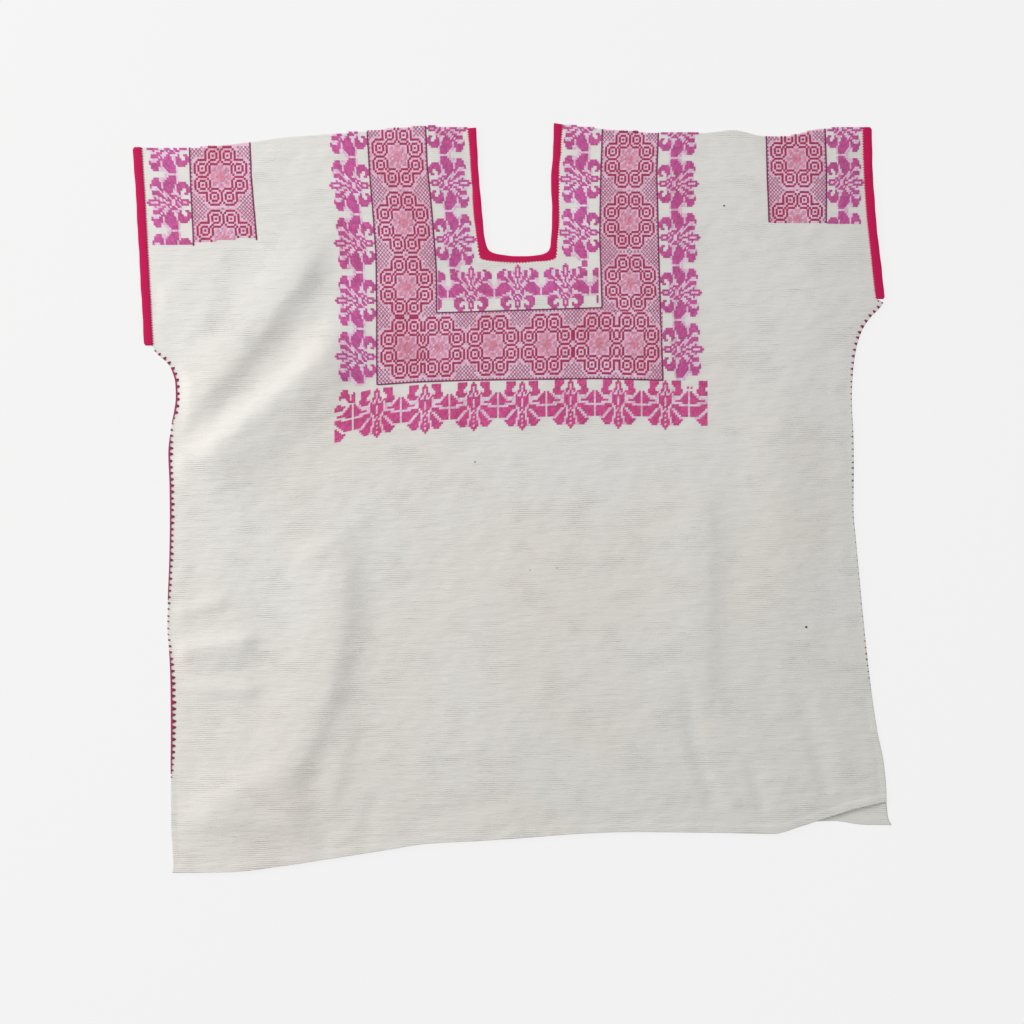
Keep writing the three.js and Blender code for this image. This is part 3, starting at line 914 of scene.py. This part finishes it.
class BLOUSE_OT_side_edgings(bpy.types.Operator):
    """Needle-worked edging of dark crimson points that joins the sides"""

    bl_idname = "blouse.side_edgings"
    bl_label = "Side edgings"

    def execute(self, context):
        draw = np.random.default_rng(31)
        for side, column, sizes, inward in (("left", 0, LEFT_EDGING, 1), ("right", -1, RIGHT_EDGING, -1)):
            line = front_grid()[ROLL_STATIONS:, column]
            down = -line[:, 1]
            line = line[(down >= sizes["down"][0] - 2) & (down <= sizes["down"][-1] + 2)]
            runs = [*edging_points(line, sizes, inward, draw), edging_cord(line, sizes, inward, draw)]
            starts, ends, widths, rises, shades = map(np.concatenate, zip(*runs))
            points, faces = thread_strips(starts, ends, widths, rises)
            material = thread_material("edging_thread", "edging_shade")
            piece = build(f"{side}_edging_thread", points, faces, material)
            add_shades(piece, "edging_shade", np.repeat(np.clip(shades, 0, 1), 9, axis=0))
            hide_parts(f"{side}_side_edging")
        return {"FINISHED"}


# ---------------------------------------------------------------- the charted embroidery

# Half of a palmette from its axis outwards, with the bare thread line to the next one as its last
# column: # leaf, o pale thread. The first row stands on the line.
PALMETTE = """
#....###......
##..#####.....
o#..#..###....
o#.....###....
##.o..####....
#o#o######....
o##oo####.ooo.
##o#ooooo####o
oo##o.o######o
oo##.########o
##o##########o
o##o########oo
o#ooo######ooo
#o#ooo####oo..
#o##o##ooooo..
#oo##o####oo..
##o###o#####..
o#oo##oo####..
o##o##oo####..
o#oo##.o###...
o#....o##.....
##............
#.............
""".split()

# The broader one under the level band, in the same way.
BROAD_PALMETTE = """
#...#####.....
##..#####.....
o#...####.....
o#....###.....
o##.o.####....
#o#o######..#o
#oo#o####.o##o
####oo..oo###o
o###ooooo####o
o###oo#######o
o###oooooo###o
o##o####oooooo
##oo#########o
o#o#oo#######o
#oo##oo######o
##o###oo#####o
o#o####oo####.
##oo####ooo...
o##o######....
###o#####.....
o##oo###......
##............
#.............
""".split()

# An eighth of a rosette, from its top down to its middle: # outline, o filled centre, x its heart.
ROSETTE = """
..#####........
.#.....#.......
#..###..#......
#.#...#.#...
#.#.#.#.#..
#.#...#.#.
#..###..#
.#....#.
..####.
oo....
oo.oo
o.oo
xoo
xx
x
""".split()

KINDS = range(9)
BARE, LEAF, OUTLINE, CENTRE, LATTICE, LINE, PALE, BLUSH, HEART = KINDS
LEAVES, ROSETTES = "neck_palmettes", "neck_rosettes"
BAND = 33  # cells between the two lines of a band
ROSETTE_REACH = 14
PALMETTE_HALF = 13
# The two threads of a stitch: the corners they join, how high they start and their share of its height.
CROSS = ((0, 2, 0.072, 0.822), (1, 3, 0.24, 0.99))

# Lines that frame the bands: x at each height, or y at each place across.
OUTER_LEFT = table(
    "y x", "372 -144.9, 365 -144.7, 321 -142, 280 -138.4, 244 -135.8, 188 -135.1, 142 -135.1, 113 -134.7"
)
INNER_LEFT = table(
    "y x", "376 -86.8, 371 -86.6, 333 -85, 298 -81.3, 262 -78.2, 239 -76.4, 218 -75.4, 185 -75.4"
)
INNER_RIGHT = table("y x", "376 90.7, 369.5 90.5, 315.5 88.7, 262 87.8, 248 88.3, 190 90.1")
OUTER_RIGHT = table(
    "y x", "372 146.5, 365 146.3, 324 144.5, 289 145.4, 244 146.4, 187 148.3, 127 150.4, 117 150.7"
)
INNER_BOTTOM = table("x y", "-140 185, -75.4 185.1, -42 185.9, 88 190, 160 190")
OUTER_BOTTOM = table("x y", "-135 113.2, -96 115.9, -42 117.8, 85 119.5, 151 117.7")
LOWER_BASE = table(
    "x y",
    """-177 101, -160 105, -134.6 110.6, -86.4 114.4, -37.6 117, 10.4 117.6, 58 119.6, 106 119.4,
    154 118.4, 195 118""",
)
LEFT_NEAR = table("y x", "352 -322.8, 350 -322.6, 308.5 -321, 273.5 -319.1, 252 -318.2")
LEFT_FAR = table("y x", "357 -262.4, 354.4 -262.3, 319.4 -260.7, 285.2 -257.6, 258 -255.2")
RIGHT_NEAR = table("y x", "366 254.3, 361.6 254.5, 319 255.3, 276 257")
RIGHT_FAR = table("y x", "372 312.8, 369.4 313, 326.3 314.3, 275 313.9")

# Place of each band's first cell, of the middle cells of its rosettes, and of its end.
LEFT_ROWS = table("cell y", "0 372.4, 14.5 341.4, 45.5 275.3, 75.5 210.7, 90 181.3")
RIGHT_ROWS = table("cell y", "0 367.2, 14.5 338.7, 45.5 277.6, 77.5 214.7, 92 186.3")
LEVEL_COLUMNS = table(
    "cell x", "0 -135, 16.5 -104.9, 34.5 -73.1, 64.5 -19, 94.5 35, 123.5 87, 142.5 122.2, 159 150.5"
)
SLEEVES = {
    "left_sleeve": (LEFT_NEAR, LEFT_FAR, table("cell y", "0 352, 14.5 321, 45.5 259, 50 250")),
    "right_sleeve": (RIGHT_NEAR, RIGHT_FAR, table("cell y", "0 367.5, 14.5 339.2, 45.5 278, 47 275")),
}
# Height of the ends of the sleeves' patches at a place across, and their slope.
SLEEVE_ENDS = {"left_sleeve": (254.5, -321, 0.1), "right_sleeve": (275.5, 0, 0)}
# The level band stops below these heights where the upright ones come down, left and right of them.
UNDER_LEFT, UNDER_RIGHT = (-76, 181.8), (89, 187)

# Palmettes: which line they stand on, which way they point, how deep they are, the bare threads on
# either side of each, the area that they are cut off at, and their group. Where a row has only two
# bare threads, it is a cut-off bit without pale thread.
UP, DOWN, LEFT, RIGHT = (0, 1), (0, -1), (-1, 0), (1, 0)
FAR = 1000
FREE = (-FAR, -FAR, FAR, FAR)
LOWER_THREADS = [-159.1, -111.1, -62.6, -14, 34.3, 82.8, 129.5, 176.8, 233]
PALMETTES = [
    (OUTER_LEFT, LEFT, 40.5, [399, 341, 283.4, 225.5, 169, 113.2], FREE, LEAVES),
    (OUTER_LEFT, LEFT, 40.5, [111, 55], (-176, 94, -156.5, 108.5), LEAVES),
    (INNER_LEFT, RIGHT, 41.0, [397, 343, 287, 230], FREE, LEAVES),
    (INNER_LEFT, RIGHT, 41.0, [230, 173], (-65.5, 224, -57, 228.5), LEAVES),
    (INNER_RIGHT, LEFT, 41.0, [399, 345.6, 292.3, 238.5], FREE, LEAVES),
    (INNER_RIGHT, LEFT, 41.0, [238.5, 185], (70, 232, 78, 237), LEAVES),
    (OUTER_RIGHT, RIGHT, 41.0, [394, 340, 288, 232.5, 178, 119], FREE, LEAVES),
    (OUTER_RIGHT, RIGHT, 41.0, [119, 62], (175, 109, 181, 117), LEAVES),
    (LOWER_BASE, DOWN, 49.0, LOWER_THREADS, (-177, -FAR, 195, FAR), LEAVES),
    (LOWER_BASE, DOWN, 49.0, [-215, -159.1], (-177, -FAR, 195, 92), LEAVES),
    (INNER_BOTTOM, UP, 45.0, [-110, -64.2, -17.7, 29, 78, 126], (-74.5, -FAR, 87, FAR), LEAVES),
    (LEFT_NEAR, LEFT, 44.0, [379, 323.7, 267.3, 211], (-FAR, 252.5, FAR, FAR), "left_sleeve"),
    (RIGHT_FAR, RIGHT, 37.0, [397, 343.1, 288, 233], (-FAR, 275, FAR, FAR), "right_sleeve"),
]


def sleeve_end(group, x):
    """Height at which a sleeve's patch ends."""
    height, start, slope = SLEEVE_ENDS[group]
    return height + (x - start) * slope


def place_of(line, name, at):
    """The line's x at a height, or its y at a place across."""
    order = np.argsort(line[name])
    other = "x" if name == "y" else "y"
    return np.interp(at, line[name][order], line[other][order])


def line_points(line):
    return np.stack([line["x"], line["y"]], -1)


@functools.cache
def rosette_chart():
    """Rosette of 29 by 29 cells, and the cells that it covers with a bare ring round it."""
    reach = ROSETTE_REACH
    eighth = np.zeros((reach + 1, reach + 1), int)
    for row, marks in enumerate(ROSETTE):
        y = reach - row
        for x, mark in enumerate(marks[: y + 1]):
            eighth[x, y] = eighth[y, x] = {"#": OUTLINE, "o": CENTRE, "x": HEART}.get(mark, BARE)
    fold = np.abs(np.arange(-reach, reach + 1))
    chart = np.pad(eighth[np.ix_(fold, fold)], 1)
    near = chart > 0
    for axis in (0, 1):
        near = near | np.roll(near, 1, axis) | np.roll(near, -1, axis)
    outside = np.zeros_like(near)
    outside[[0, -1], :] = outside[:, [0, -1]] = True
    outside &= ~near
    for _ in range(4 * reach):
        spread = outside.copy()
        for axis in (0, 1):
            spread |= np.roll(outside, 1, axis) | np.roll(outside, -1, axis)
        outside = spread & ~near
    return np.where(chart == BARE, BLUSH, chart), ~outside


def palmette_chart(line):
    """Whole palmette of the kind that stands on this line."""
    marks = BROAD_PALMETTE if line is LOWER_BASE else PALMETTE
    half = np.array([[{"#": LEAF, "o": PALE}.get(mark, BARE) for mark in row] for row in marks])
    return np.concatenate([half[:, -2:0:-1], half], axis=1)


class Stitches:
    """Cells of a counted chart: four corners on the cloth, what each is for, and its group."""

    def __init__(self):
        self.corners = []
        self.kinds = []
        self.groups = []

    def add(self, corners, kinds, group):
        self.corners.append(corners)
        self.kinds.append(np.broadcast_to(kinds, len(corners)))
        self.groups.append(np.full(len(corners), group, dtype=object))

    def cells(self, columns, rows, kinds, place, group, keep=None):
        """Cells by column and row; place turns fractional ones into points."""
        offsets = ((0, 0), (1, 0), (1, 1), (0, 1))
        corners = np.stack([np.stack(place(columns + dx, rows + dy), -1) for dx, dy in offsets], 1)
        chosen = keep(*corners.mean(axis=1).T) if keep else slice(None)
        self.add(corners[chosen], kinds[chosen], group)

    def line(self, points, group, pitch=1.35, width=1.2):
        """A run of stitches along a line."""
        at = np.arange(0, running(points)[-1], pitch)
        starts, ends = along(points, at), along(points, at + pitch)
        ahead = ends - starts
        keep = np.hypot(*ahead.T) > pitch / 2
        starts, ends, ahead = starts[keep], ends[keep], ahead[keep]
        aside = np.stack([-ahead[:, 1], ahead[:, 0]], -1) / np.hypot(*ahead.T)[:, None] * width / 2
        self.add(np.stack([starts - aside, ends - aside, ends + aside, starts + aside], 1), LINE, group)

    def all(self):
        return np.concatenate(self.corners), np.concatenate(self.kinds), np.concatenate(self.groups)


def band_chart(cells):
    """Lattice with rosettes worked into it; where two meet, each keeps the side towards its middle."""
    middles, end = cells["cell"][1:-1].astype(int), int(cells["cell"][-1])
    column, row = np.meshgrid(np.arange(BAND), np.arange(end), indexing="ij")
    chart = np.where((column + row) % 2 == 0, LATTICE, PALE)
    rosette, covered = rosette_chart()
    reach = ROSETTE_REACH + 1
    away = np.array([np.hypot(column - BAND // 2, row - middle) for middle in middles])
    for place, middle in enumerate(middles):
        across, down = column - BAND // 2, row - middle
        near = (abs(across) <= reach) & (abs(down) <= reach) & (away.argmin(axis=0) == place)
        across, down = across[near] + reach, down[near] + reach
        chart[near] = np.where(covered[across, down], rosette[across, down], chart[near])
    return chart


def add_band(stitches, chart, place, group, keep=None):
    columns, rows = np.nonzero(chart)
    stitches.cells(columns, rows, chart[columns, rows], place, group, keep)


def add_upright(stitches, near, far, cells, group, keep=None):
    """An upright band between two lines."""

    def place(column, row):
        y = np.interp(row, cells["cell"], cells["y"])
        return mix(place_of(near, "y", y), place_of(far, "y", y), column / BAND), y

    add_band(stitches, band_chart(cells), place, group, keep)


def add_level(stitches):
    """The level band under the neck, up to the two upright ones."""

    def place(column, row):
        x = np.interp(column, LEVEL_COLUMNS["cell"], LEVEL_COLUMNS["x"])
        return x, mix(place_of(INNER_BOTTOM, "x", x), place_of(OUTER_BOTTOM, "x", x), row / BAND)

    def keep(x, y):
        left = (x < UNDER_LEFT[0]) & (y > UNDER_LEFT[1])
        right = (x > UNDER_RIGHT[0]) & (y > UNDER_RIGHT[1])
        return ~left & ~right

    add_band(stitches, band_chart(LEVEL_COLUMNS).T, place, ROSETTES, keep)


def add_palmettes(stitches, line, pointing, depth, bare, area, group):
    chart = palmette_chart(line)
    if len(bare) == 2:
        chart = np.where(chart == LEAF, LEAF, BARE)
    rows, columns = np.nonzero(chart)
    deep = depth / len(chart)
    for start, end in zip(bare, bare[1:]):
        pitch = (end - start) / (2 * PALMETTE_HALF)

        def place(column, row):
            at = start + pitch * (column + 0.5)
            out = deep * row + 1.0
            if pointing in (LEFT, RIGHT):
                return place_of(line, "y", at) + pointing[0] * out, at
            return at, place_of(line, "x", at) + pointing[1] * out

        def keep(x, y):
            return (x > area[0]) & (y > area[1]) & (x < area[2]) & (y < area[3])

        stitches.cells(columns, rows, chart[rows, columns], place, group, keep)


@functools.cache
def charted():
    """Every stitch of the embroidery."""
    made = Stitches()
    add_upright(made, OUTER_LEFT, INNER_LEFT, LEFT_ROWS, ROSETTES)
    add_upright(made, INNER_RIGHT, OUTER_RIGHT, RIGHT_ROWS, ROSETTES)
    add_level(made)
    for group, (near, far, cells) in SLEEVES.items():
        add_upright(made, near, far, cells, group, lambda x, y: y > sleeve_end(group, x))
    for row in PALMETTES:
        add_palmettes(made, *row)
    left, bottom, right = map(line_points, (OUTER_LEFT, OUTER_BOTTOM, OUTER_RIGHT))
    made.line(np.concatenate([left, bottom, right[::-1]]), ROSETTES)
    left, bottom, right = map(line_points, (INNER_LEFT, INNER_BOTTOM, INNER_RIGHT))
    made.line(np.concatenate([left, bottom[2:4], right[::-1]]), ROSETTES)
    for group, (near, far, _) in SLEEVES.items():
        made.line(line_points(near), group)
        made.line(line_points(far), group)
    corners, kinds, groups = made.all()
    shown = ~inside(neck_area(STITCH_CUT), corners.mean(axis=1))
    return corners[shown], kinds[shown], groups[shown]


def band_reach(points):
    """How far each point is inside the nearest worked band, from a margin outside it."""
    x, y = points[:, 0], points[:, 1]
    outer_left, inner_left, inner_right, outer_right = (
        place_of(line, "y", y) for line in (OUTER_LEFT, INNER_LEFT, INNER_RIGHT, OUTER_RIGHT)
    )
    above = y - place_of(OUTER_BOTTOM, "x", x)
    bands = [
        (x - outer_left, inner_left - x, above),
        (x - inner_right, outer_right - x, above),
        (x - outer_left, outer_right - x, above, place_of(INNER_BOTTOM, "x", x) - y),
    ]
    for group, (near, far, _) in SLEEVES.items():
        bands.append((x - place_of(near, "y", y), place_of(far, "y", y) - x, y - sleeve_end(group, x)))
    deepest = np.max([np.min(band, axis=0) for band in bands], axis=0)
    return np.clip(deepest, -BAND_MARGIN, BAND_MARGIN) + BAND_MARGIN


def looks():
    """Kind, width, height and colour of each kind of stitch."""
    _, _, stitch = settings()
    return [
        (LEAF, stitch.thick, 1, stitch.palmette),
        (OUTLINE, stitch.outline, 1.1, stitch.rosette),
        (CENTRE, stitch.thick, 0.9, stitch.centre),
        (LATTICE, stitch.thin, 0.5, stitch.lattice),
        (LINE, 2.1 * stitch.thin, 0.8, stitch.line),
        (PALE, stitch.thick, 0.5, stitch.pale),
        (BLUSH, stitch.thick, 0.5, stitch.blush),
        (HEART, stitch.thick, 0.9, stitch.heart),
    ]


def work_stitches(name, group, chosen):
    """Cross-stitches as two bent threads each, laid on the front."""
    _, _, stitch = settings()
    corners, kinds, groups = charted()
    mask = (groups == group) & np.isin(kinds, chosen)
    corners, kinds = corners[mask], kinds[mask]
    found = heights(corners.mean(axis=1))
    on_cloth = found[:, 3] > 0
    corners, kinds, found = corners[on_cloth], kinds[on_cloth], found[on_cloth]
    centre = corners.mean(axis=1)
    draw = np.random.default_rng(len(kinds))
    around = corners - centre[:, None]
    z = found[:, None, 0] + around[..., 0] * found[:, None, 1] + around[..., 1] * found[:, None, 2]
    placed = np.concatenate([corners, np.maximum(z, ROLL)[..., None]], -1)
    placed[..., :2] += draw.normal(0, JITTER, placed[..., :2].shape)
    widths, rise, tones = np.zeros(len(kinds)), np.zeros(len(kinds)), np.zeros((len(KINDS), 3))
    for kind, width, height, tone in looks():
        widths[kinds == kind] = width / MM
        rise[kinds == kind] = stitch.rise / MM * height
        tones[kind] = tone
    widths = widths * draw.uniform(0.9, 1.1, len(kinds))
    low_leaf = (kinds == LEAF) & (centre[:, 1] < place_of(OUTER_BOTTOM, "x", centre[:, 0]))
    shades = np.where(low_leaf[:, None], tuple(stitch.palmette_low), tones[kinds])
    shades = shades * draw.uniform(0.8, 1.2, (len(kinds), 1))
    drift = unevenness(*centre.T, 90.0, 3)[:, None]
    shades = np.clip(shades * (1 + 0.06 * drift * np.array([0.4, 1.0, 0.9])), 0, 1)
    in_band = band_reach(centre) > BAND_MARGIN
    parts = []
    for first, second, over, share in CROSS:
        lift, arch = np.full(len(kinds), over), rise * share
        for kind, flat_lift in ((LATTICE, 0.3), (PALE, 0.05)):
            flat = (kinds == kind) & in_band
            lift[flat] = flat_lift
            arch[flat] = rise[flat]
        start, end = placed[:, first].copy(), placed[:, second].copy()
        start[:, 2] += lift
        end[:, 2] += lift
        parts.append(thread_strips(start, end, widths, arch))
    points, faces = joined(parts)
    material = thread_material("embroidery_thread", "thread_shade")
    piece = build(name, points, faces, material)
    add_shades(piece, "thread_shade", np.tile(np.repeat(shades, 9, axis=0), (2, 1)))


class BLOUSE_OT_neck_embroidery(bpy.types.Operator):
    """Cross-stitched bands and palmettes round the neck"""

    bl_idname = "blouse.neck_embroidery"
    bl_label = "Neck embroidery"

    def execute(self, context):
        work_stitches("neck_palmette_stitches", LEAVES, [LEAF])
        work_stitches("neck_pale_stitches", LEAVES, [PALE])
        work_stitches("neck_rosette_stitches", ROSETTES, [OUTLINE, CENTRE, HEART])
        work_stitches("neck_blush_stitches", ROSETTES, [BLUSH])
        work_stitches("neck_lattice_stitches", ROSETTES, [LATTICE, LINE, PALE])
        return {"FINISHED"}


class BLOUSE_OT_sleeve_embroidery(bpy.types.Operator):
    """Cross-stitched patches on the two sleeves"""

    bl_idname = "blouse.sleeve_embroidery"
    bl_label = "Sleeve embroidery"

    def execute(self, context):
        for group in SLEEVES:
            work_stitches(f"{group}_stitches", group, KINDS)
        return {"FINISHED"}


# ---------------------------------------------------------------- stage

FLOOR_REACH = 6.0
LAMP_PLACE, LAMP_AIM, LAMP_SIZE = (-2.4, 1.15, 1.41), (0.05, -0.05, 0), (2.0, 1.5)
LENS, SENSOR = 85, 36
CAMERA_Y = -0.014


def add_object(name, data, place=(0, 0, 0)):
    made = bpy.data.objects.new(name, data)
    made.location = place
    bpy.context.scene.collection.objects.link(made)
    return made


def room(stage):
    """Even light all round, which the camera sees as the floor's own colour."""
    world = bpy.data.worlds.new("soft_room")
    world.use_nodes = True
    nodes, links = world.node_tree.nodes, world.node_tree.links
    even = nodes["Background"]
    even.inputs["Color"].default_value = (1, 1, 1, 1)
    even.inputs["Strength"].default_value = stage.sky
    seen = nodes.new("ShaderNodeBackground")
    seen.inputs["Color"].default_value = (*stage.floor, 1)
    path, either = nodes.new("ShaderNodeLightPath"), nodes.new("ShaderNodeMixShader")
    sources = (path.outputs["Is Camera Ray"], even.outputs[0], seen.outputs[0])
    for place, source in enumerate(sources):
        links.new(source, either.inputs[place])
    links.new(either.outputs[0], nodes["World Output"].inputs[0])
    return world


class BLOUSE_OT_stage(bpy.types.Operator):
    """Pale floor, soft light and the camera over the blouse"""

    bl_idname = "blouse.stage"
    bl_label = "Stage"

    def execute(self, context):
        scene, stage = context.scene, context.scene.blouse_stage
        mesh = bpy.data.meshes.new("floor")
        corners = [(x * FLOOR_REACH, y * FLOOR_REACH, 0) for x, y in ((-1, -1), (1, -1), (1, 1), (-1, 1))]
        mesh.from_pydata(corners, [], [(0, 1, 2, 3)])
        mesh.materials.append(floor_material(stage))
        add_object("floor", mesh)
        scene.world = room(stage)
        light = bpy.data.lights.new("window", "AREA")
        light.shape = "RECTANGLE"
        light.size, light.size_y = LAMP_SIZE
        light.energy = stage.key
        light.color = (1.0, 0.985, 0.96)
        lamp = add_object("window", light, LAMP_PLACE)
        lamp.rotation_euler = (Vector(LAMP_AIM) - lamp.location).to_track_quat("-Z", "Y").to_euler()
        camera = bpy.data.cameras.new("camera")
        camera.lens, camera.sensor_width = LENS, SENSOR
        scene.camera = add_object("camera", camera, (0, CAMERA_Y, stage.distance))
        scene.view_settings.view_transform = "Standard"
        return {"FINISHED"}


class BLOUSE_PT_panel(bpy.types.Panel):
    """Pieces of the blouse and their sizes"""

    bl_idname = "BLOUSE_PT_panel"
    bl_label = "Embroidered blouse"
    bl_space_type = "VIEW_3D"
    bl_region_type = "UI"
    bl_category = "Blouse"

    def draw(self, context):
        for operator in OPERATORS:
            self.layout.operator(operator.bl_idname)
        for name, group in GROUPS.items():
            box = self.layout.box()
            for key in group.__annotations__:
                box.prop(getattr(context.scene, name), key)


GROUPS = {
    "blouse_cloth": BlouseClothSettings,
    "blouse_trim": BlouseTrimSettings,
    "blouse_stitch": BlouseStitchSettings,
    "blouse_stage": BlouseStageSettings,
}
OPERATORS = [
    BLOUSE_OT_back_cloth,
    BLOUSE_OT_front_cloth,
    BLOUSE_OT_neck_binding,
    BLOUSE_OT_sleeve_bindings,
    BLOUSE_OT_side_edgings,
    BLOUSE_OT_neck_embroidery,
    BLOUSE_OT_sleeve_embroidery,
    BLOUSE_OT_stage,
]
CLASSES = [*GROUPS.values(), *OPERATORS, BLOUSE_PT_panel]


def register():
    for part in CLASSES:
        bpy.utils.register_class(part)
    for name, group in GROUPS.items():
        setattr(bpy.types.Scene, name, PointerProperty(type=group))


def unregister():
    for name in GROUPS:
        delattr(bpy.types.Scene, name)
    for part in reversed(CLASSES):
        bpy.utils.unregister_class(part)


def main():
    register()
    for operator in OPERATORS:
        group, name = operator.bl_idname.split(".")
        getattr(getattr(bpy.ops, group), name)()


if __name__ == "__main__":
    main()
